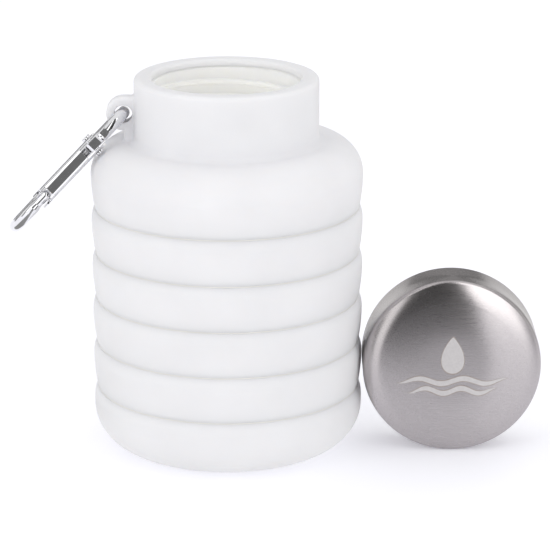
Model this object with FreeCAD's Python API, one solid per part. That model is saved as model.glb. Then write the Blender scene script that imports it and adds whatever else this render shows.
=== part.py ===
import FreeCAD, Part
import math
import os

# Folding silicone water bottle, folded short, with its screw cap taken off and stood beside it
# on edge and a snap hook hanging from the lug on its neck. Millimetres. The origin is the centre
# of the flat underside, +Z runs up the bottle's axis, the lug is at -X and the cap at +X.

V = FreeCAD.Vector

# ---- driving dimensions -------------------------------------------------------------------
BAND_COUNT = 4              # ring bands between the base cup and the shoulder
BODY_R = 38.0               # widest radius of every silicone ring
EDGE_R = 37.1               # radius of each ring where it meets its neighbour
BORE_R = 34.0               # inside radius of the rings
BASE_H = 17.5               # height of the base cup
PITCH = 13.05               # height of one ring band, gap included
SEAM_GAP = 0.2              # gap between two rings when folded
SEAM_ROUND = 0.35           # rounding of the ring edges on both sides of that gap
SEAM_STEP_R = 36.3          # inside this radius a low step on the lower ring nearly shuts the gap
SEAM_STEP_GAP = 0.06        # what the step leaves open
CREST_DROP = 3.6            # how far below its top edge a ring is widest
BASE_ROUND = 11.8           # rounding at the foot of the base cup
FLOOR_T = 3.4               # thickness of the base cup's floor

FOLD_R = 26.2               # inside radius of a folded web
WEB_T = 1.2                 # thickness of a folded web
WEB_REACH = 3.0             # height above and below the seam where a web joins the rings
WEB_GAP = 0.15              # clearance between a web and the ring that lifts away from it

SHOULDER_Z = BASE_H + BAND_COUNT * PITCH
DOME_Z = 79.0               # height where the shoulder starts to curve in
DOME_R = 9.1                # rounding of the shoulder
WALL_T = 3.2                # silicone thickness in the shoulder
NECK_R = 25.7               # outside radius of the neck
NECK_FILLET = 2.1
RIM_Z = 106.2               # height of the mouth's rim
RIM_ROUND = 1.2
RIM_INNER_ROUND = 0.7
RIM_LIP_R = 20.9            # inside radius of the rim's lip, which covers the insert's top
SLEEVE_R = 22.4             # inside radius of the silicone neck

INSERT_DROP = 2.0           # how far the threaded insert lies below the rim
INSERT_GAP = 0.05
INSERT_R = 20.6             # inside radius of the insert
LIP_R = 19.5                # plain lip at the insert's lower end
LIP_H = 4.0
FLANGE_R = 25.6             # flange that holds the insert under the shoulder
FLANGE_T = 1.6

THREAD_PITCH = 4.2
THREAD_TURNS = 1.6
THREAD_BASE = 1.9           # width of the thread ridge at its root
THREAD_CREST = 0.9
THREAD_DEPTH = 0.8
THREAD_SINK = 0.3           # how far a ridge is buried in its wall
INSERT_THREAD_DROP = 9.6    # start of the inside thread below the insert's top
PLUG_THREAD_START = 4.8     # start of the outside thread beyond the cap's lower edge

OVERSHOOT = 1.0             # how far a cutting tool runs past what it cuts

LUG_X = -28.6               # hole centre, outside the neck
LUG_Z = 95.9
LUG_R = 4.8
LUG_HOLE_R = 2.5
LUG_T = 4.2
LUG_ROUND = 0.8             # rounding of the lug's rims and of its root on the neck

CAP_R = 25.1
CAP_H = 15.7
CAP_ROUND = 1.5             # corner between the face and the side wall
CAP_T = 0.65
FACE_FLAT_R = 8.0           # flat middle of the face
FACE_BEND_R = 19.5          # radius where its shallow crown turns over more
FACE_BEND_SLOPE = 9.0       # slope of the face there, degrees
FACE_EDGE_SLOPE = 28.0      # slope of the face where the corner starts
CAP_X = 63.2                # centre of the stood cap
CAP_FACE_Y = -13.8          # the middle of its brushed face, which looks along -Y
PLUG_R = 19.2
PLUG_T = 1.9
PLUG_GAP = 0.05             # clearance of the plug in the steel shell and in the gasket
PLUG_REACH = 13.2           # how far the plug stands out of the cap
GASKET_R = 23.6             # the gasket lies on the rim when the cap is screwed on
GASKET_T = 1.2

WIRE_R = 1.7                # snap hook wire
NOSE_R = 1.35
TONGUE_START = 7.6          # where the wire's end is squeezed flat to fit in the gate
TONGUE_R = 1.95             # its rounded end, about the rivet
TONGUE_HALF = 1.2           # half its thickness along the rivet
CLAMP_FLAT_START = 5.0      # flat left on the wire by the clamp of the bending tool
CLAMP_FLAT_END = 7.2
CLAMP_FLAT_DEPTH = 0.35
HOOK_TILT = 43.2            # lean of the hook from straight down, degrees
HOOK_TWIST = 6.5            # turn of the hook about its own length, degrees
TOP_BEND_R = 6.8
END_BEND_R = 10.0
END_BEND_U = 35.7           # distance of the wide bend's centre from the lug hole
RIVET_U = 11.2              # distance of the gate rivet from the lug hole
NOSE_U = 29.3               # where the nose ends
GATE_START = 9.0
GATE_END = 33.3
GATE_WEB_START = 14.5
GATE_WEB_END = 28.7
GATE_INNER = 1.8            # half the width inside the gate's channel
GATE_SHEET = 0.55
GATE_ROUND = 1.4            # bend where the gate's web turns into its cheeks
GATE_BACK = 2.0             # channel depth on the outer side of the wire's centre line
GATE_FRONT = 1.9            # and on the inner side
RIVET_R = 0.8
RIVET_HEAD_R = 1.35
RIVET_HEAD_T = 0.7
RIVET_HEAD_ROUND = 0.3
RIVET_GAP = 0.05            # clearance of the rivet in the gate, around it and under its heads
LATCH_U = 31.1
LATCH_R = 0.65
LATCH_GAP = 0.12
SPRING_R = 1.1
SPRING_WIRE_R = 0.2
SPRING_PITCH = 0.9
SPRING_START = 16.8
SPRING_END = 24.0
SPRING_GAP = 0.1            # clearance between the spring and its plunger
PLUNGER_R = 1.0
PLUNGER_TIP = 13.4


# ---- helpers --------------------------------------------------------------------------------
def section(start, *steps):
    """Closed face in the X-Z plane. A step of one point is a line, one of two is an arc."""
    edges = []
    here = start
    for step in steps + ((start,),):
        end = step[-1]
        if len(step) == 1:
            edge = Part.LineSegment(V(here[0], 0, here[1]), V(end[0], 0, end[1]))
        else:
            mid = step[0]
            edge = Part.Arc(V(here[0], 0, here[1]), V(mid[0], 0, mid[1]), V(end[0], 0, end[1]))
        edges.append(edge.toShape())
        here = end
    return Part.Face(Part.Wire(edges))


def turned(start, *steps):
    return section(start, *steps).revolve(V(0, 0, 0), V(0, 0, 1), 360)


def polar(centre, radius, degrees):
    angle = math.radians(degrees)
    return (centre[0] + radius * math.cos(angle), centre[1] + radius * math.sin(angle))


def upright_arc(crest, end):
    """Arc that is upright at the crest and runs to the end point: its middle and its end."""
    dr = crest[0] - end[0]
    dz = end[1] - crest[1]
    radius = (dr * dr + dz * dz) / (2 * dr)
    centre = (crest[0] - radius, crest[1])
    half = math.degrees(math.asin(dz / radius)) / 2
    return (polar(centre, radius, half), end)


def reversed_arc(crest, start):
    """The same arc drawn towards the crest: its middle and the crest."""
    return (upright_arc(crest, start)[0], crest)


def thread_ridge(root_r, crest_r, z_start):
    """One helical ridge from root radius to crest radius, its ends buried in the wall."""
    sink = math.copysign(THREAD_SINK, root_r - crest_r)
    height = THREAD_PITCH * THREAD_TURNS
    path = Part.makeHelix(THREAD_PITCH, height, crest_r)
    base = THREAD_BASE / 2
    crest = THREAD_CREST / 2
    corners = [
        V(root_r + sink, 0, -base),
        V(crest_r, 0, -crest),
        V(crest_r, 0, crest),
        V(root_r + sink, 0, base),
    ]
    profile = Part.makePolygon(corners + corners[:1])
    ridge = Part.Wire(path.Edges).makePipeShell([profile], True, True)
    ridge.translate(V(0, 0, z_start))
    return ridge


def write(name, shape):
    solids = shape.Solids
    shape = solids[0] if len(solids) == 1 else Part.makeCompound(solids)
    shape.exportStep(os.path.join("parts", name + ".step"))
    print(f"{name:16s} solids {len(solids)} valid {shape.isValid()} volume {shape.Volume:9.1f}")


# ---- bottle body ----------------------------------------------------------------------------
def rounded_seam_edges(shape):
    """Round the edges that lie on both sides of a seam."""
    rims = []
    for edge in shape.Edges:
        if abs(edge.BoundBox.XMax - EDGE_R) < 0.01 and edge.BoundBox.ZLength < 0.01:
            rims.append(edge)
    return shape.makeFillet(SEAM_ROUND, rims)


def base_cup():
    top = BASE_H - SEAM_GAP / 2
    step = top + SEAM_GAP - SEAM_STEP_GAP
    crest = (BODY_R, top - CREST_DROP)
    foot = (BODY_R - BASE_ROUND, BASE_ROUND)
    inner_round = BASE_ROUND - 3.0
    inner = (BORE_R - inner_round, FLOOR_T + inner_round)
    groove_in = 18.0
    groove_out = 21.0
    groove_depth = 0.8
    cup = turned(
        (0, 0),
        ((groove_in, 0),),
        ((groove_in, groove_depth),),
        ((groove_out, groove_depth),),
        ((groove_out, 0),),
        ((BODY_R - BASE_ROUND, 0),),
        (polar(foot, BASE_ROUND, -45), (BODY_R, BASE_ROUND)),
        (crest,),
        upright_arc(crest, (EDGE_R, top)),
        ((SEAM_STEP_R, top),),
        ((SEAM_STEP_R, step),),
        ((BORE_R, step),),
        ((BORE_R, inner[1]),),
        (polar(inner, inner_round, -45), (inner[0], FLOOR_T)),
        ((0, FLOOR_T),),
    )
    return rounded_seam_edges(cup)


def ring_band(index):
    bottom = BASE_H + index * PITCH + SEAM_GAP / 2
    top = bottom + PITCH - SEAM_GAP
    step = top + SEAM_GAP - SEAM_STEP_GAP
    crest = (BODY_R, top - CREST_DROP)
    ring = turned(
        (BORE_R, bottom),
        ((EDGE_R, bottom),),
        reversed_arc(crest, (EDGE_R, bottom)),
        upright_arc(crest, (EDGE_R, top)),
        ((SEAM_STEP_R, top),),
        ((SEAM_STEP_R, step),),
        ((BORE_R, step),),
    )
    return rounded_seam_edges(ring)


def fold_web(index):
    """Thin wall folded inwards between two rings. It is fast to the lower ring."""
    seam = BASE_H + index * PITCH
    low = seam - WEB_REACH
    high = seam + WEB_REACH
    half = WEB_T / 2
    lifted_r = BORE_R - WEB_GAP
    return turned(
        (BORE_R, low - half),
        ((BORE_R, low + half),),
        ((FOLD_R + 2 * WEB_T, seam),),
        ((lifted_r, high - half),),
        ((lifted_r, high + half),),
        ((FOLD_R, seam + half),),
        ((FOLD_R, seam - half),),
    )


def lug():
    """Flat eye on the neck, filled in down to the shoulder."""
    half = LUG_T / 2
    eye = Part.makeCylinder(LUG_R, LUG_T, V(LUG_X, -half, LUG_Z), V(0, 1, 0))
    sunk = 1.5
    root_x = -SLEEVE_R - sunk
    foot_z = DOME_Z + DOME_R - sunk
    bridge = Part.makeBox(root_x - LUG_X, LUG_T, LUG_Z + LUG_R - foot_z, V(LUG_X, -half, foot_z))
    plate = eye.fuse(bridge).removeSplitter()
    rims = [edge for edge in plate.Edges if edge.BoundBox.YLength < 0.01]
    plate = plate.makeFillet(LUG_ROUND, rims)
    hole_l = LUG_T + 2 * OVERSHOOT
    hole = Part.makeCylinder(LUG_HOLE_R, hole_l, V(LUG_X, -hole_l / 2, LUG_Z), V(0, 1, 0))
    return plate.cut(hole)


def on_outer_skin(point):
    """True for a point on the neck, on the fillet at its foot or on the flat shoulder top."""
    near = 0.03
    dome_top = DOME_Z + DOME_R
    r = math.hypot(point.x, point.y)
    fillet_z = dome_top + NECK_FILLET
    on_neck = abs(r - NECK_R) < near and point.z > fillet_z - near
    on_fillet = abs(math.hypot(r - NECK_R - NECK_FILLET, point.z - fillet_z) - NECK_FILLET) < near
    on_top = abs(point.z - dome_top) < near
    return on_neck or on_fillet or on_top


def is_lug_root(edge):
    """True for the edges along which the lug meets the neck and the shoulder."""
    box = edge.BoundBox
    if box.XMax > -SLEEVE_R or box.DiagonalLength > 2 * LUG_R + LUG_T:
        return False
    span = edge.LastParameter - edge.FirstParameter
    points = [edge.valueAt(edge.FirstParameter + span * part) for part in (0, 0.5, 1)]
    return all(on_outer_skin(point) for point in points)


def shoulder_neck():
    bottom = SHOULDER_Z + SEAM_GAP / 2
    dome = (BODY_R - DOME_R, DOME_Z)
    dome_top = DOME_Z + DOME_R
    ceiling = dome_top - WALL_T
    inner_round = 6.0
    inner = (BORE_R - inner_round, ceiling - inner_round)
    fillet = (NECK_R + NECK_FILLET, dome_top + NECK_FILLET)
    outer_rim = (NECK_R - RIM_ROUND, RIM_Z - RIM_ROUND)
    inner_rim = (RIM_LIP_R + RIM_INNER_ROUND, RIM_Z - RIM_INNER_ROUND)
    lip_z = RIM_Z - INSERT_DROP + INSERT_GAP
    shell = turned(
        (BORE_R, bottom),
        ((EDGE_R, bottom),),
        reversed_arc((BODY_R, DOME_Z), (EDGE_R, bottom)),
        (polar(dome, DOME_R, 45), (dome[0], dome_top)),
        ((fillet[0], dome_top),),
        (polar(fillet, NECK_FILLET, 225), (NECK_R, fillet[1])),
        ((NECK_R, outer_rim[1]),),
        (polar(outer_rim, RIM_ROUND, 45), (outer_rim[0], RIM_Z)),
        ((inner_rim[0], RIM_Z),),
        (polar(inner_rim, RIM_INNER_ROUND, 135), (RIM_LIP_R, inner_rim[1])),
        ((RIM_LIP_R, lip_z),),
        ((SLEEVE_R, lip_z),),
        ((SLEEVE_R, ceiling),),
        ((inner[0], ceiling),),
        (polar(inner, inner_round, 45), (BORE_R, inner[1])),
    )
    joined = rounded_seam_edges(shell).fuse(lug()).removeSplitter()
    roots = [edge for edge in joined.Edges if is_lug_root(edge)]
    return joined.makeFillet(LUG_ROUND, roots)


def neck_insert():
    """Hard threaded collar inside the silicone neck, under its lip."""
    ceiling = DOME_Z + DOME_R - WALL_T - INSERT_GAP
    foot = ceiling - FLANGE_T
    top = RIM_Z - INSERT_DROP
    tube_r = SLEEVE_R - INSERT_GAP
    lead_in = 0.5
    collar = turned(
        (LIP_R, foot),
        ((FLANGE_R, foot),),
        ((FLANGE_R, ceiling),),
        ((tube_r, ceiling),),
        ((tube_r, top),),
        ((INSERT_R + lead_in, top),),
        ((INSERT_R, top - lead_in),),
        ((INSERT_R, foot + LIP_H + INSERT_R - LIP_R),),
        ((LIP_R, foot + LIP_H),),
    )
    ridge = thread_ridge(INSERT_R, INSERT_R - THREAD_DEPTH, top - INSERT_THREAD_DROP)
    return collar.fuse(ridge)


# ---- cap, modelled face down on its own axis and then stood on edge ------------------------------
def stand_cap(shape):
    shape.rotate(V(0, 0, 0), V(1, 0, 0), -90)
    shape.translate(V(CAP_X, CAP_FACE_Y, CAP_R))
    return shape


def face_arcs():
    """Arcs of the crowned face from its flat middle to the side wall: centre, radius, slopes."""
    bend_sin = math.sin(math.radians(FACE_BEND_SLOPE))
    edge_sin = math.sin(math.radians(FACE_EDGE_SLOPE))
    crown_r = (FACE_BEND_R - FACE_FLAT_R) / bend_sin
    crown = (FACE_FLAT_R, crown_r)
    corner_x = CAP_R - CAP_ROUND
    bend_r = (corner_x + CAP_ROUND * edge_sin - FACE_BEND_R) / (edge_sin - bend_sin)
    bend = polar(crown, crown_r - bend_r, FACE_BEND_SLOPE - 90)
    corner = polar(bend, bend_r - CAP_ROUND, FACE_EDGE_SLOPE - 90)
    return [
        (crown, crown_r, 0, FACE_BEND_SLOPE),
        (bend, bend_r, FACE_BEND_SLOPE, FACE_EDGE_SLOPE),
        (corner, CAP_ROUND, FACE_EDGE_SLOPE, 90),
    ]


def cap_shell():
    inner_r = CAP_R - CAP_T
    outside = []
    inside = []
    for centre, radius, low, high in face_arcs():
        middle = (low + high) / 2
        outside.append((polar(centre, radius, middle - 90), polar(centre, radius, high - 90)))
        thin = radius - CAP_T
        inside.insert(0, (polar(centre, thin, middle - 90), polar(centre, thin, low - 90)))
    corner_z = outside[-1][-1][1]
    return turned(
        (0, 0),
        ((FACE_FLAT_R, 0),),
        *outside,
        ((CAP_R, CAP_H),),
        ((inner_r, CAP_H),),
        ((inner_r, corner_z),),
        *inside,
        ((0, CAP_T),),
    )


def cap_plug():
    """Threaded plug with the flange and skirt that the steel shell is fixed to."""
    skirt_r = CAP_R - CAP_T - PLUG_GAP
    end = CAP_H + PLUG_REACH
    flange = CAP_H - PLUG_T
    skirt_top = 4.5
    round_r = 1.5
    round_centre = (PLUG_R - round_r, end - round_r)
    plug = turned(
        (skirt_r - PLUG_T, skirt_top),
        ((skirt_r, skirt_top),),
        ((skirt_r, CAP_H),),
        ((PLUG_R, CAP_H),),
        ((PLUG_R, round_centre[1]),),
        (polar(round_centre, round_r, 45), (round_centre[0], end)),
        ((0, end),),
        ((0, end - PLUG_T),),
        ((PLUG_R - PLUG_T, end - PLUG_T),),
        ((PLUG_R - PLUG_T, flange),),
        ((skirt_r - PLUG_T, flange),),
    )
    ridge = thread_ridge(PLUG_R, PLUG_R + THREAD_DEPTH, CAP_H + PLUG_THREAD_START)
    return plug.fuse(ridge)


def cap_gasket():
    inner_r = PLUG_R + PLUG_GAP
    edge = 0.4
    return turned(
        (inner_r, CAP_H),
        ((GASKET_R, CAP_H),),
        ((GASKET_R, CAP_H + GASKET_T - edge),),
        ((GASKET_R - edge, CAP_H + GASKET_T),),
        ((inner_r, CAP_H + GASKET_T),),
    )


# ---- snap hook, modelled flat and then hung in the lug --------------------------------------------
# In its own frame +X runs from the lug hole to the wide end, +Y from the gate to the spine.
def hang_hook(shape):
    shape.Placement = hook_placement().multiply(shape.Placement)
    return shape


def hook_placement():
    tilt = math.radians(HOOK_TILT)
    twist = math.radians(HOOK_TWIST)
    along = V(-math.sin(tilt), 0, -math.cos(tilt))
    side = along.cross(V(0, 1, 0))
    across = V(0, 1, 0) * math.cos(twist) + side * math.sin(twist)
    normal = along.cross(across)
    matrix = FreeCAD.Matrix(
        along.x, across.x, normal.x, LUG_X,
        along.y, across.y, normal.y, 0,
        along.z, across.z, normal.z, LUG_Z,
        0, 0, 0, 1,
    )
    return FreeCAD.Placement(matrix)


def flat_arc(centre, radius, degrees_from, degrees_to):
    marks = [degrees_from, (degrees_from + degrees_to) / 2, degrees_to]
    points = [polar(centre, radius, mark) for mark in marks]
    return Part.Arc(*[V(x, y, 0) for x, y in points]).toShape()


def hinge_tongue():
    """Squeezed end of the wire, rounded about the rivet."""
    gate_line = -TOP_BEND_R
    root = 1.0
    full = TONGUE_START + TONGUE_R - root
    corners = [
        V(RIVET_U, gate_line + TONGUE_R, -TONGUE_HALF),
        V(full, gate_line + TONGUE_R, -TONGUE_HALF),
        V(TONGUE_START, gate_line + root, -TONGUE_HALF),
        V(TONGUE_START, gate_line - root, -TONGUE_HALF),
        V(full, gate_line - TONGUE_R, -TONGUE_HALF),
        V(RIVET_U, gate_line - TONGUE_R, -TONGUE_HALF),
    ]
    sides = [Part.LineSegment(a, b).toShape() for a, b in zip(corners, corners[1:])]
    end = V(RIVET_U + TONGUE_R, gate_line, -TONGUE_HALF)
    round_end = Part.Arc(corners[-1], end, corners[0]).toShape()
    outline = Part.Wire(sides + [round_end])
    return Part.Face(outline).extrude(V(0, 0, 2 * TONGUE_HALF))


def hook_body():
    """Bent wire: rivet end, small bend in the lug, spine, wide bend and thinner nose."""
    gate_line = -TOP_BEND_R
    top = (TOP_BEND_R, 0)
    end = (END_BEND_U, END_BEND_R - TOP_BEND_R)
    span = math.hypot(end[0] - top[0], end[1] - top[1])
    lean = math.degrees(math.atan2(end[1] - top[1], end[0] - top[0]))
    spine = lean + math.degrees(math.acos((TOP_BEND_R - END_BEND_R) / span))
    spine_from = polar(top, TOP_BEND_R, spine)
    spine_to = polar(end, END_BEND_R, spine)
    neck = TONGUE_START + WIRE_R - TONGUE_HALF
    path = Part.Wire([
        Part.LineSegment(V(TONGUE_START, gate_line, 0), V(TOP_BEND_R, gate_line, 0)).toShape(),
        flat_arc(top, TOP_BEND_R, 270, spine),
        Part.LineSegment(V(*spine_from, 0), V(*spine_to, 0)).toShape(),
        flat_arc(end, END_BEND_R, spine, -90),
    ])
    ring = Part.Wire([Part.makeCircle(WIRE_R, V(TONGUE_START, gate_line, 0), V(1, 0, 0))])
    wire = path.makePipeShell([ring], True, False)
    squeeze = Part.makeCone(
        WIRE_R, TONGUE_HALF, neck - TONGUE_START, V(TONGUE_START, gate_line, 0), V(1, 0, 0)
    )
    taper_l = 1.6
    nose_from = END_BEND_U - taper_l
    taper = Part.makeCone(WIRE_R, NOSE_R, taper_l, V(END_BEND_U, gate_line, 0), V(-1, 0, 0))
    nose_l = nose_from - NOSE_U - NOSE_R
    nose = Part.makeCylinder(NOSE_R, nose_l, V(nose_from, gate_line, 0), V(-1, 0, 0))
    nose_tip = Part.makeSphere(NOSE_R, V(NOSE_U + NOSE_R, gate_line, 0))
    clamp_box = Part.makeBox(
        CLAMP_FLAT_END - CLAMP_FLAT_START, WIRE_R, 2 * WIRE_R,
        V(CLAMP_FLAT_START, gate_line - 2 * WIRE_R + CLAMP_FLAT_DEPTH, -WIRE_R),
    )
    body = wire.cut(clamp_box).multiFuse([squeeze, hinge_tongue(), taper, nose, nose_tip])
    length = 2 * (GATE_INNER + GATE_SHEET)
    rivet_hole = Part.makeCylinder(RIVET_R, length, V(RIVET_U, gate_line, -length / 2))
    latch_hole = Part.makeCylinder(LATCH_R, length, V(LATCH_U, gate_line, -length / 2))
    return body.cut(rivet_hole).cut(latch_hole)


def long_edges_at(shape, y):
    """Edges along the gate that lie at the given depth."""
    edges = []
    for edge in shape.Edges:
        box = edge.BoundBox
        if box.XLength > 1 and abs(box.YMax - y) < 0.01:
            edges.append(edge)
    return edges


def hook_gate():
    """Folded sheet channel, open on its inner side and cut away over the wire's two ends."""
    gate_line = -TOP_BEND_R
    half = GATE_INNER + GATE_SHEET
    depth = GATE_BACK + GATE_FRONT
    low = gate_line - GATE_BACK
    channel = Part.makeBox(GATE_END - GATE_START, depth, 2 * half, V(GATE_START, low, -half))
    channel = channel.makeFillet(GATE_ROUND, long_edges_at(channel, low))
    trough = Part.makeBox(
        GATE_END - GATE_START + 2 * OVERSHOOT, depth, 2 * GATE_INNER,
        V(GATE_START - OVERSHOOT, low + GATE_SHEET, -GATE_INNER),
    )
    trough_edges = long_edges_at(trough, low + GATE_SHEET)
    trough = trough.makeFillet(GATE_ROUND - GATE_SHEET, trough_edges)
    hinge_window = Part.makeBox(
        GATE_WEB_START - GATE_START + OVERSHOOT, depth, 2 * GATE_INNER,
        V(GATE_START - OVERSHOOT, low - OVERSHOOT, -GATE_INNER),
    )
    nose_window = Part.makeBox(
        GATE_END - GATE_WEB_END + OVERSHOOT, depth, 2 * GATE_INNER,
        V(GATE_WEB_END, low - OVERSHOOT, -GATE_INNER),
    )
    cut_from = -half - OVERSHOOT
    cut_l = -2 * cut_from
    slot_r = LATCH_R + LATCH_GAP
    slot = Part.makeCylinder(slot_r, cut_l, V(LATCH_U, gate_line, cut_from))
    slot_mouth = Part.makeBox(
        2 * slot_r, GATE_BACK + OVERSHOOT, cut_l, V(LATCH_U - slot_r, low - OVERSHOOT, cut_from)
    )
    rivet_hole = Part.makeCylinder(RIVET_R + RIVET_GAP, cut_l, V(RIVET_U, gate_line, cut_from))
    gate = channel.cut(trough).cut(hinge_window).cut(nose_window)
    return gate.cut(slot).cut(slot_mouth).cut(rivet_hole)


def gate_rivet():
    half = GATE_INNER + GATE_SHEET + RIVET_GAP
    head_z = half + RIVET_HEAD_T
    shank = Part.makeCylinder(RIVET_R, 2 * half, V(RIVET_U, -TOP_BEND_R, -half))
    upper = Part.makeCylinder(RIVET_HEAD_R, RIVET_HEAD_T, V(RIVET_U, -TOP_BEND_R, half))
    lower = Part.makeCylinder(RIVET_HEAD_R, RIVET_HEAD_T, V(RIVET_U, -TOP_BEND_R, -head_z))
    rivet = shank.multiFuse([upper, lower])
    rims = []
    for edge in rivet.Edges:
        if abs(abs(edge.BoundBox.Center.z) - head_z) < 0.01:
            rims.append(edge)
    return rivet.makeFillet(RIVET_HEAD_ROUND, rims)


def latch_pin():
    half = GATE_INNER + GATE_SHEET
    return Part.makeCylinder(LATCH_R, 2 * half, V(LATCH_U, -TOP_BEND_R, -half))


def gate_spring():
    height = SPRING_END - SPRING_START - 2 * SPRING_WIRE_R
    path = Part.makeHelix(SPRING_PITCH, height, SPRING_R)
    ring = Part.Wire([Part.makeCircle(SPRING_WIRE_R, V(SPRING_R, 0, 0), V(0, 1, 0))])
    coil = Part.Wire(path.Edges).makePipeShell([ring], True, True)
    coil.rotate(V(0, 0, 0), V(0, 1, 0), 90)
    coil.translate(V(SPRING_START + SPRING_WIRE_R, -TOP_BEND_R, 0))
    return coil


def gate_plunger():
    """Pin inside the spring, which pushes its head against the wire's flat rounded end."""
    head_l = SPRING_START - PLUNGER_TIP - SPRING_GAP
    tail_r = SPRING_R - SPRING_WIRE_R - SPRING_GAP
    tail_l = 3.0
    head = Part.makeCylinder(PLUNGER_R, head_l, V(PLUNGER_TIP, -TOP_BEND_R, 0), V(1, 0, 0))
    tail_from = PLUNGER_TIP + head_l
    tail = Part.makeCylinder(tail_r, tail_l, V(tail_from, -TOP_BEND_R, 0), V(1, 0, 0))
    return head.fuse(tail)


# ---- write one file per node ----------------------------------------------------------------------
os.makedirs("parts", exist_ok=True)

write("base_cup", base_cup())
for number in range(BAND_COUNT):
    write(f"ring_band_{number + 1}", ring_band(number))
for number in range(BAND_COUNT + 1):
    write(f"fold_web_{number + 1}", fold_web(number))
write("shoulder_neck", shoulder_neck())
write("neck_insert", neck_insert())

write("cap_shell", stand_cap(cap_shell()))
write("cap_plug", stand_cap(cap_plug()))
write("cap_gasket", stand_cap(cap_gasket()))

write("hook_body", hang_hook(hook_body()))
write("hook_gate", hang_hook(hook_gate()))
write("gate_rivet", hang_hook(gate_rivet()))
write("latch_pin", hang_hook(latch_pin()))
write("gate_spring", hang_hook(gate_spring()))
write("gate_plunger", hang_hook(gate_plunger()))

rivet_at = hook_placement().multVec(V(RIVET_U, -TOP_BEND_R, 0))
rivet_axis = hook_placement().Rotation.multVec(V(0, 0, 1))
print("gate rivet centre", [round(x, 3) for x in rivet_at], "axis", [round(x, 5) for x in rivet_axis])
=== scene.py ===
import math

import bmesh
import bpy
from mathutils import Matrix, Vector


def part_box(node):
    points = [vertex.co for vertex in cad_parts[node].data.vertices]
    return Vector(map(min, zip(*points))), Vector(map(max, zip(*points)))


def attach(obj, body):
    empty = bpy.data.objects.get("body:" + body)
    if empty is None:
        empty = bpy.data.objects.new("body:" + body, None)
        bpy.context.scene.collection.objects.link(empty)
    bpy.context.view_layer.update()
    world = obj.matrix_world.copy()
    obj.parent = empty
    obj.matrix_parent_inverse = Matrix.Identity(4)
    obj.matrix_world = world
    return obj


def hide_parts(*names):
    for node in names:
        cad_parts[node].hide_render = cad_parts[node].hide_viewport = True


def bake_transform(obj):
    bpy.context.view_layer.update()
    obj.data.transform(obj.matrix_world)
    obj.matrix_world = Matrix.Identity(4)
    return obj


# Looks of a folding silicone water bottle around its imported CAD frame. Everything is in metres.

MM = 0.001
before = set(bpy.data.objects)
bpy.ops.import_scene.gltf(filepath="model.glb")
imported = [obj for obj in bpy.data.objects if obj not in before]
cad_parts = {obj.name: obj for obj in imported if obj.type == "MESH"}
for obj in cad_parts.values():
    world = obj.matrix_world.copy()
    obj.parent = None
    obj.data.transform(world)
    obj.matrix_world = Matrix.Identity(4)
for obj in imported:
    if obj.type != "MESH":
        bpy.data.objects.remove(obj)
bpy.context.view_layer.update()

# ---- driving sizes -------------------------------------------------------------------------------
TURN_STEPS = 256            # sides of the large turned pieces
BAND_COUNT = 4
BODIES = ["base"] + [f"band_{k + 1}" for k in range(BAND_COUNT)] + ["shoulder"]
SEAM_EDGE_R = 37.1 * MM     # radius of the rings where two of them meet
WEB_ROOT_R = 34.3 * MM      # where a folded wall is rooted in the rings
WEB_FOLD_R = 26.8 * MM      # how deep it folds in
WEB_T = 1.2 * MM
WEB_CREASE = 2.4            # how soft the fold's crease is: 2 is round, more is flatter
WEB_STEPS = 28              # divisions from one ring to the next
WEB_TURN_STEPS = 192

LIP_TIP = 0.01 * MM         # the seam's lip, measured in from the rings' edge
LIP_SHOULDER = 0.12 * MM
LIP_ROOT = 0.75 * MM
LIP_HALF = 0.25 * MM        # half its height

CAP_CENTRE = Vector((63.2, -13.8, 25.1)) * MM    # middle of the cap's face, which looks along -Y
FACE_FLAT_R = 8.0 * MM      # flat middle of the face
CROWN_R = 73.5 * MM         # radius of its shallow crown
WELD = 0.002 * MM           # points closer than this are one point

DROP_R = 4.0                # the etched sign, in millimetres on the face
DROP_LEVEL = 4.2
DROP_STRETCH = 1.35         # height of the drop over its width
WAVES = ((15.5, -3.4), (12.5, -6.3))    # half length and level of each wave
WAVE_T = 1.5
WAVE_SWING = 0.75
WAVE_TURNS = 2.5
SIGN_RIM = 0.22             # dark edge around the pale etching
RIM_LIFT = 15e-6            # how far the two sheets lie off the steel, in metres
FILL_LIFT = 30e-6

CAMERA_PLACE = (0.0134, -0.7463, 0.2829)
CAMERA_DIP = 17.43          # degrees down from level
SENSOR = 36
LENS = 181.2

LAMP_TARGET = (0, 0, 0.05)
WORLD_STRENGTH = 0.88
STRIP_DISTANCE = 0.5        # dark studio strips that give polished metal its contrast
STRIP_AZIMUTHS = (-75, -115, -160, 150, 100, 60)


# ---- node helpers --------------------------------------------------------------------------------
def new_material(name):
    material = bpy.data.materials.new(name)
    material.use_nodes = True
    tree = material.node_tree
    return material, tree, tree.nodes["Principled BSDF"]


def add(tree, kind, **values):
    """A new node. Names that are sockets set the socket, the others set the node itself."""
    node = tree.nodes.new(kind)
    for name, value in values.items():
        if hasattr(node, name):
            setattr(node, name, value)
        else:
            node.inputs[name].default_value = value
    return node


def object_point(tree, stretch=(1, 1, 1)):
    """Object coordinates, stretched along the axes."""
    point = add(tree, "ShaderNodeTexCoord")
    mapping = add(tree, "ShaderNodeMapping")
    mapping.inputs["Scale"].default_value = stretch
    tree.links.new(point.outputs["Object"], mapping.inputs["Vector"])
    return mapping.outputs["Vector"]


def noise(tree, scale, detail=3.0, stretch=(1, 1, 1)):
    """Factor of a noise that is fixed to the object."""
    node = add(tree, "ShaderNodeTexNoise", Scale=scale, Detail=detail)
    tree.links.new(object_point(tree, stretch), node.inputs["Vector"])
    return node.outputs["Fac"]


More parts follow.
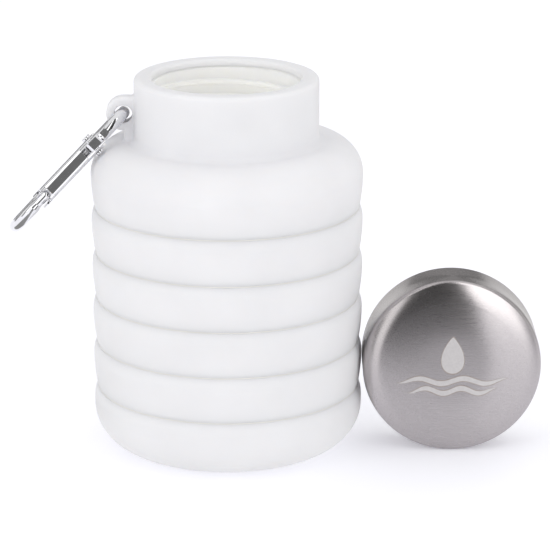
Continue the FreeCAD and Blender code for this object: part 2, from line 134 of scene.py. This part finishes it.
def ramp(tree, fac, stops):
    """Colour ramp from (position, colour) stops."""
    node = add(tree, "ShaderNodeValToRGB")
    elements = node.color_ramp.elements
    while len(elements) < len(stops):
        elements.new(0.5)
    for element, (position, colour) in zip(elements, stops):
        element.position = position
        element.color = (*colour, 1)
    tree.links.new(fac, node.inputs["Fac"])
    return node.outputs["Color"]


def spread(tree, fac, low, high, low_in=0.3, high_in=0.7):
    """A factor mapped to the range low to high."""
    node = add(tree, "ShaderNodeMapRange")
    node.inputs["From Min"].default_value = low_in
    node.inputs["From Max"].default_value = high_in
    node.inputs["To Min"].default_value = low
    node.inputs["To Max"].default_value = high
    tree.links.new(fac, node.inputs["Value"])
    return node.outputs["Result"]


def bump(tree, shader, height, strength, distance):
    """Fine relief on the shader's surface, from a height factor."""
    node = add(tree, "ShaderNodeBump", Strength=strength, Distance=distance)
    tree.links.new(height, node.inputs["Height"])
    tree.links.new(node.outputs["Normal"], shader.inputs["Normal"])


# ---- materials -----------------------------------------------------------------------------------
def silicone(name, light, dark, depth, soak=0.5):
    """Matt moulded silicone: faint mottling, light soaking in and a very fine moulded grain."""
    material, tree, shader = new_material(name)
    colour = ramp(tree, noise(tree, 55, 4), [(0.35, dark), (0.65, light)])
    tree.links.new(colour, shader.inputs["Base Color"])
    rough = spread(tree, noise(tree, 240, 3), 0.5, 0.62)
    tree.links.new(rough, shader.inputs["Roughness"])
    shader.inputs["IOR"].default_value = 1.41
    shader.inputs["Subsurface Weight"].default_value = soak
    shader.inputs["Subsurface Radius"].default_value = (1.0, 0.95, 0.90)
    shader.inputs["Subsurface Scale"].default_value = depth
    bump(tree, shader, noise(tree, 1900, 2), 0.12, 0.00012)
    return material


def hard_plastic(name, light, dark, roughness):
    """Injection moulded plastic with a satin skin and faint flow marks."""
    material, tree, shader = new_material(name)
    flow = noise(tree, 40, 3, (1, 1, 3))
    tree.links.new(ramp(tree, flow, [(0.3, dark), (0.7, light)]), shader.inputs["Base Color"])
    rough = spread(tree, noise(tree, 500, 2), roughness - 0.05, roughness + 0.08)
    tree.links.new(rough, shader.inputs["Roughness"])
    shader.inputs["IOR"].default_value = 1.49
    shader.inputs["Subsurface Weight"].default_value = 0.4
    shader.inputs["Subsurface Radius"].default_value = (1.0, 0.95, 0.75)
    shader.inputs["Subsurface Scale"].default_value = 0.004
    bump(tree, shader, noise(tree, 2600, 2), 0.08, 0.00008)
    return material


def brushed_steel():
    """Stainless steel brushed in straight lines along X."""
    material, tree, shader = new_material("cap_steel_brushed")
    lines = noise(tree, 50, 5, (1, 90, 90))
    fine = noise(tree, 80, 3, (1, 150, 150))
    colour = ramp(tree, lines, [(0.3, (0.465, 0.437, 0.442)), (0.7, (0.505, 0.477, 0.482))])
    tree.links.new(colour, shader.inputs["Base Color"])
    shader.inputs["Metallic"].default_value = 1.0
    tree.links.new(spread(tree, fine, 0.25, 0.32), shader.inputs["Roughness"])
    shader.inputs["Anisotropic"].default_value = 0.8
    shader.inputs["Anisotropic Rotation"].default_value = 0.25
    tangent = add(tree, "ShaderNodeTangent", direction_type="RADIAL", axis="Z")
    tree.links.new(tangent.outputs["Tangent"], shader.inputs["Tangent"])
    bump(tree, shader, fine, 0.06, 0.00003)
    return material


def etched_steel(name, light, dark):
    """Steel etched to a pale, even satin."""
    material, tree, shader = new_material(name)
    grain = noise(tree, 1500, 3)
    tree.links.new(ramp(tree, grain, [(0.3, dark), (0.7, light)]), shader.inputs["Base Color"])
    shader.inputs["Metallic"].default_value = 0.6
    tree.links.new(spread(tree, grain, 0.5, 0.6), shader.inputs["Roughness"])
    return material


def chrome():
    """Bright plated steel with a few soft rub marks."""
    material, tree, shader = new_material("hook_chrome")
    shader.inputs["Metallic"].default_value = 1.0
    marks = noise(tree, 300, 5)
    tint = ramp(tree, marks, [(0.3, (0.78, 0.78, 0.80)), (0.7, (0.88, 0.88, 0.90))])
    tree.links.new(tint, shader.inputs["Base Color"])
    tree.links.new(spread(tree, marks, 0.05, 0.12), shader.inputs["Roughness"])
    bump(tree, shader, noise(tree, 420, 3), 0.06, 0.00006)
    return material


def spring_wire():
    """Plain drawn wire, duller than the chrome."""
    material, tree, shader = new_material("spring_steel")
    shader.inputs["Metallic"].default_value = 1.0
    grain = noise(tree, 900, 3)
    tint = ramp(tree, grain, [(0.3, (0.34, 0.34, 0.35)), (0.7, (0.46, 0.46, 0.47))])
    tree.links.new(tint, shader.inputs["Base Color"])
    tree.links.new(spread(tree, grain, 0.25, 0.4), shader.inputs["Roughness"])
    return material


def floor_white():
    """Pale paper that glows a little, as an over-lit studio table does."""
    material, tree, shader = new_material("floor_white")
    tone = ramp(tree, noise(tree, 3, 2), [(0.3, (0.885, 0.885, 0.925)), (0.7, (0.895, 0.895, 0.935))])
    tree.links.new(tone, shader.inputs["Base Color"])
    shader.inputs["Roughness"].default_value = 0.8
    shader.inputs["Specular IOR Level"].default_value = 0.1
    shader.inputs["Emission Color"].default_value = (0.95, 0.95, 1.0, 1)
    shader.inputs["Emission Strength"].default_value = 0.21
    return material


def card_paint(name, tone):
    """Flat glowing paint of one grey tone."""
    material, _, shader = new_material(name)
    shader.inputs["Base Color"].default_value = (0, 0, 0, 1)
    shader.inputs["Specular IOR Level"].default_value = 0
    shader.inputs["Emission Color"].default_value = (tone, tone, 0.99 * tone, 1)
    shader.inputs["Emission Strength"].default_value = 1
    return material


# ---- mesh helpers --------------------------------------------------------------------------------
def link(name, mesh, material):
    """New object of the mesh, in the scene."""
    piece = bpy.data.objects.new(name, mesh)
    mesh.materials.append(material)
    bpy.context.scene.collection.objects.link(piece)
    return piece


def turned(name, outline, material, steps=TURN_STEPS):
    """Closed ring of revolution about Z. The outline is a closed loop of (r, z) points."""
    builder = bmesh.new()
    rings = []
    for step in range(steps):
        angle = 2 * math.pi * step / steps
        cos, sin = math.cos(angle), math.sin(angle)
        rings.append([builder.verts.new((r * cos, r * sin, z)) for r, z in outline])
    count = len(outline)
    for step in range(steps):
        here, there = rings[step], rings[(step + 1) % steps]
        for i in range(count):
            j = (i + 1) % count
            builder.faces.new((here[i], there[i], there[j], here[j]))
    bmesh.ops.recalc_face_normals(builder, faces=builder.faces)
    mesh = bpy.data.meshes.new(name)
    builder.to_mesh(mesh)
    builder.free()
    mesh.shade_smooth()
    return link(name, mesh, material)


# ---- folded walls --------------------------------------------------------------------------------
def web_outline(low, high):
    """Wall of constant thickness that folds in to a soft crease half way up."""
    middle, half = (low + high) / 2, (high - low) / 2
    depth = WEB_ROOT_R - WEB_FOLD_R
    line = []
    for i in range(WEB_STEPS + 1):
        s = 2 * i / WEB_STEPS - 1
        line.append(Vector((WEB_FOLD_R + depth * abs(s) ** WEB_CREASE, middle + half * s)))
    outer, inner = [], []
    for i, point in enumerate(line):
        along = line[min(i + 1, WEB_STEPS)] - line[max(i - 1, 0)]
        normal = Vector((along.y, -along.x)).normalized() * WEB_T / 2
        outer.append(tuple(point + normal))
        inner.append(tuple(point - normal))
    return outer + inner[::-1]


def fold_webs(material):
    """The folded wall at each seam. Its two edges follow the rings below and above it."""
    for k in range(BAND_COUNT + 1):
        node = f"fold_web_{k + 1}"
        low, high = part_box(node)
        bottom, top = low.z + WEB_T / 2, high.z - WEB_T / 2
        outline = web_outline(bottom, top)
        web = turned(f"folded_wall_{k + 1}", outline, material, WEB_TURN_STEPS)
        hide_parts(node)
        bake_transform(web)


def seam_lips(material):
    """Soft lip in each seam, just inside the rings' edge, that nearly fills the gap."""
    tip, side, root = SEAM_EDGE_R - LIP_TIP, SEAM_EDGE_R - LIP_SHOULDER, SEAM_EDGE_R - LIP_ROOT
    for k in range(BAND_COUNT + 1):
        low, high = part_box(f"fold_web_{k + 1}")
        z = (low.z + high.z) / 2
        below, above = z - LIP_HALF, z + LIP_HALF
        outline = [(root, below), (side, below), (tip, z), (side, above), (root, above)]
        lip = turned(f"seam_lip_{k + 1}", outline, material)
        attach(lip, BODIES[k])


# ---- etched sign on the cap: a water drop over waves ---------------------------------------------
def face_point(x, z, lift):
    """Point on the cap's crowned face, seen from its front, lifted off the steel."""
    r = math.hypot(x, z)
    sunk = 0.0
    if r > FACE_FLAT_R:
        sunk = CROWN_R - math.sqrt(CROWN_R ** 2 - (r - FACE_FLAT_R) ** 2)
    return CAP_CENTRE + Vector((x, sunk - lift, z))


def patch(name, rows, lift, material):
    """Thin sheet on the cap's face from rows of (x, z) points in millimetres."""
    builder = bmesh.new()
    grid = [[builder.verts.new(face_point(x * MM, z * MM, lift)) for x, z in row] for row in rows]
    for low, high in zip(grid, grid[1:]):
        for i in range(len(low) - 1):
            builder.faces.new((low[i], low[i + 1], high[i + 1], high[i]))
    bmesh.ops.remove_doubles(builder, verts=builder.verts, dist=WELD)
    mesh = bpy.data.meshes.new(name)
    builder.to_mesh(mesh)
    builder.free()
    mesh.shade_smooth()
    piece = link(name, mesh, material)
    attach(piece, "cap")


def wave_rows(half, level, height):
    """Strip that waves along X and tapers to both ends."""
    steps, layers = 90, 5
    rows = []
    for j in range(layers):
        side = 2 * j / (layers - 1) - 1
        row = []
        for i in range(steps + 1):
            s = 2 * i / steps - 1
            thick = height / 2 * (1 - s ** 4)
            middle = level + WAVE_SWING * math.sin(math.pi * WAVE_TURNS * s)
            row.append((half * s, middle + side * thick))
        rows.append(row)
    return rows


def drop_rows(radius):
    """Filled drop: rings from its middle out to its outline, pointed at the top."""
    steps, rings = 48, 6
    rows = []
    for ring in range(rings + 1):
        size = ring / rings * radius
        row = []
        for i in range(steps + 1):
            angle = 2 * math.pi * i / steps
            across = size * math.sin(angle) * math.sin(angle / 2) ** 0.8
            row.append((across, DROP_LEVEL + size * DROP_STRETCH * math.cos(angle)))
        rows.append(row)
    return rows


def sign_layer(label, grow, lift, material):
    """The whole sign, made larger all round by grow."""
    patch(f"sign_drop_{label}", drop_rows(DROP_R + grow), lift, material)
    for k, (half, level) in enumerate(WAVES):
        rows = wave_rows(half + grow, level, WAVE_T + 2 * grow)
        patch(f"sign_wave_{k + 1}_{label}", rows, lift, material)


# ---- finishes of the CAD nodes -------------------------------------------------------------------
def paint(material, *names):
    """Give CAD nodes a material in place of their own."""
    for name in names:
        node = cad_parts[name]
        node.data.materials.clear()
        node.data.materials.append(material)


# ---- stage, lights and camera --------------------------------------------------------------------
def make_floor():
    """Pale table. Matt surfaces don't see it, because the even studio light stands in for it."""
    size = 3.0
    mesh = bpy.data.meshes.new("floor")
    corners = [(-size, -size, 0), (size, -size, 0), (size, size, 0), (-size, size, 0)]
    mesh.from_pydata(corners, [], [(0, 1, 2, 3)])
    floor = link("floor", mesh, floor_white())
    floor.visible_diffuse = False


def soft_box(name, place, width, height, watts, in_gloss=True):
    """Rectangular lamp that faces the bottle."""
    data = bpy.data.lights.new(name, "AREA")
    data.shape = "RECTANGLE"
    data.size = width
    data.size_y = height
    data.energy = watts
    lamp = bpy.data.objects.new(name, data)
    lamp.location = place
    lamp.visible_glossy = in_gloss
    direction = Vector(LAMP_TARGET) - lamp.location
    lamp.rotation_euler = direction.to_track_quat("-Z", "Y").to_euler()
    bpy.context.scene.collection.objects.link(lamp)


def cavity_glow(name, place, radius, watts):
    """Light that soaks through the pale walls into the bottle, given as a small lamp inside it."""
    data = bpy.data.lights.new(name, "POINT")
    data.shadow_soft_size = radius
    data.energy = watts
    data.color = (1.0, 0.985, 0.95)
    lamp = bpy.data.objects.new(name, data)
    lamp.location = place
    lamp.visible_camera = False
    lamp.visible_glossy = False
    bpy.context.scene.collection.objects.link(lamp)


def card(name, centre, width, height, face_along, tone):
    """Studio card that only reflections see, so it throws no shade."""
    mesh = bpy.data.meshes.new(name)
    w, h = width / 2, height / 2
    mesh.from_pydata([(-w, -h, 0), (w, -h, 0), (w, h, 0), (-w, h, 0)], [], [(0, 1, 2, 3)])
    piece = link(name, mesh, card_paint(name, tone))
    piece.location = centre
    piece.rotation_euler = Vector(face_along).to_track_quat("Z", "Y").to_euler()
    piece.visible_camera = False
    piece.visible_diffuse = False
    piece.visible_shadow = False
    piece.visible_transmission = False


def make_lamps():
    """The soft boxes' place, width, height and watts, and the glow's place, radius and watts."""
    soft_box("left_light", (-0.68, -0.58, 0.42), 0.6, 0.6, 1.1)
    soft_box("front_light", (0.10, -0.78, 0.27), 0.7, 0.5, 0.72, in_gloss=False)
    soft_box("right_light", (0.70, -0.60, 0.40), 0.45, 0.6, 0.45)
    soft_box("back_light", (0.40, 0.60, 0.55), 0.5, 0.5, 0.5, in_gloss=False)
    cavity_glow("wall_glow", (0, 0, 0.060), 0.010, 0.018)


def make_cards():
    """Each card's centre, width, height, the way it faces and its tone."""
    card("dark_front", (0.0425, -0.115, 0.295), 0.091, 0.61, (0, 1, 0), 0.06)
    card("white_right", (0.133, -0.115, 0.285), 0.082, 0.50, (0, 1, 0), 2.5)
    card("dark_left", (-0.0725, -0.130, 0.20), 0.055, 0.42, (0, 1, 0), 0.17)
    card("grey_low", (-0.080, -0.045, 0.003), 0.07, 0.15, (0, 0, 1), 0.30)
    card("white_left", (-0.023, -0.116, 0.24), 0.034, 0.48, (0, 1, 0), 1.5)
    card("grey_behind_cap", (0.062, 0.12, 0.06), 0.084, 0.12, (0, -1, 0), 0.24)
    for side, x in (("left", -0.005), ("right", 0.132)):
        card(f"white_behind_cap_{side}", (x, 0.12, 0.06), 0.05, 0.12, (0, -1, 0), 0.9)
    card("grey_back", (0.0, 0.9, 0.45), 2.4, 0.9, (0, -1, 0), 0.36)
    for k, azimuth in enumerate(STRIP_AZIMUTHS):
        angle = math.radians(azimuth)
        across, along = math.sin(angle), -math.cos(angle)
        place = (STRIP_DISTANCE * across, STRIP_DISTANCE * along, 0.30)
        card(f"dark_strip_{k + 1}", place, 0.09, 0.60, (-across, -along, 0), 0.08)


def make_world():
    """Even white light from all round."""
    world = bpy.data.worlds.new("studio")
    world.use_nodes = True
    background = world.node_tree.nodes["Background"]
    background.inputs["Color"].default_value = (1, 1, 1, 1)
    background.inputs["Strength"].default_value = WORLD_STRENGTH
    bpy.context.scene.world = world


def make_camera():
    data = bpy.data.cameras.new("camera")
    data.sensor_width = SENSOR
    data.lens = LENS
    camera = bpy.data.objects.new("camera", data)
    camera.location = CAMERA_PLACE
    camera.rotation_euler = (math.radians(90 - CAMERA_DIP), 0, 0)
    bpy.context.scene.collection.objects.link(camera)
    bpy.context.scene.camera = camera


# ---- build ---------------------------------------------------------------------------------------
bpy.context.scene.view_settings.view_transform = "Standard"
white_silicone = silicone("white_silicone", (0.837, 0.834, 0.856), (0.812, 0.809, 0.831), 0.004)
paint(white_silicone, "base_cup", "shoulder_neck", *[f"ring_band_{k + 1}" for k in range(BAND_COUNT)])
paint(hard_plastic("neck_plastic", (0.93, 0.93, 0.905), (0.91, 0.905, 0.88), 0.35), "neck_insert")
paint(hard_plastic("cap_plastic", (0.87, 0.87, 0.85), (0.84, 0.84, 0.82), 0.4), "cap_plug")
paint(silicone("clear_gasket", (0.80, 0.80, 0.77), (0.76, 0.76, 0.73), 0.003), "cap_gasket")
paint(brushed_steel(), "cap_shell")
paint(chrome(), "hook_body", "hook_gate", "gate_rivet", "latch_pin")
paint(spring_wire(), "gate_spring", "gate_plunger")
# The folded walls' warmer tint is painted warm shade: it stands in for the light bounced round inside
# the seams.
fold_webs(silicone("fold_silicone_painted_warm_shade", (0.84, 0.83, 0.80), (0.81, 0.80, 0.76), 0.003))
# The seam lips' darker, warmer tint is painted shade: it stands in for the shade and warm bounced
# light deep in each seam.
seam_lips(silicone("seam_silicone_painted_shade", (0.82, 0.80, 0.775), (0.78, 0.76, 0.735), 0.002, soak=0))
sign_rim = etched_steel("sign_rim", (0.42, 0.36, 0.33), (0.36, 0.31, 0.28))
sign_pale = etched_steel("sign_pale", (0.64, 0.62, 0.62), (0.58, 0.56, 0.56))
sign_layer("rim", SIGN_RIM, RIM_LIFT, sign_rim)
sign_layer("fill", 0, FILL_LIFT, sign_pale)
make_floor()
make_lamps()
make_cards()
make_world()
make_camera()
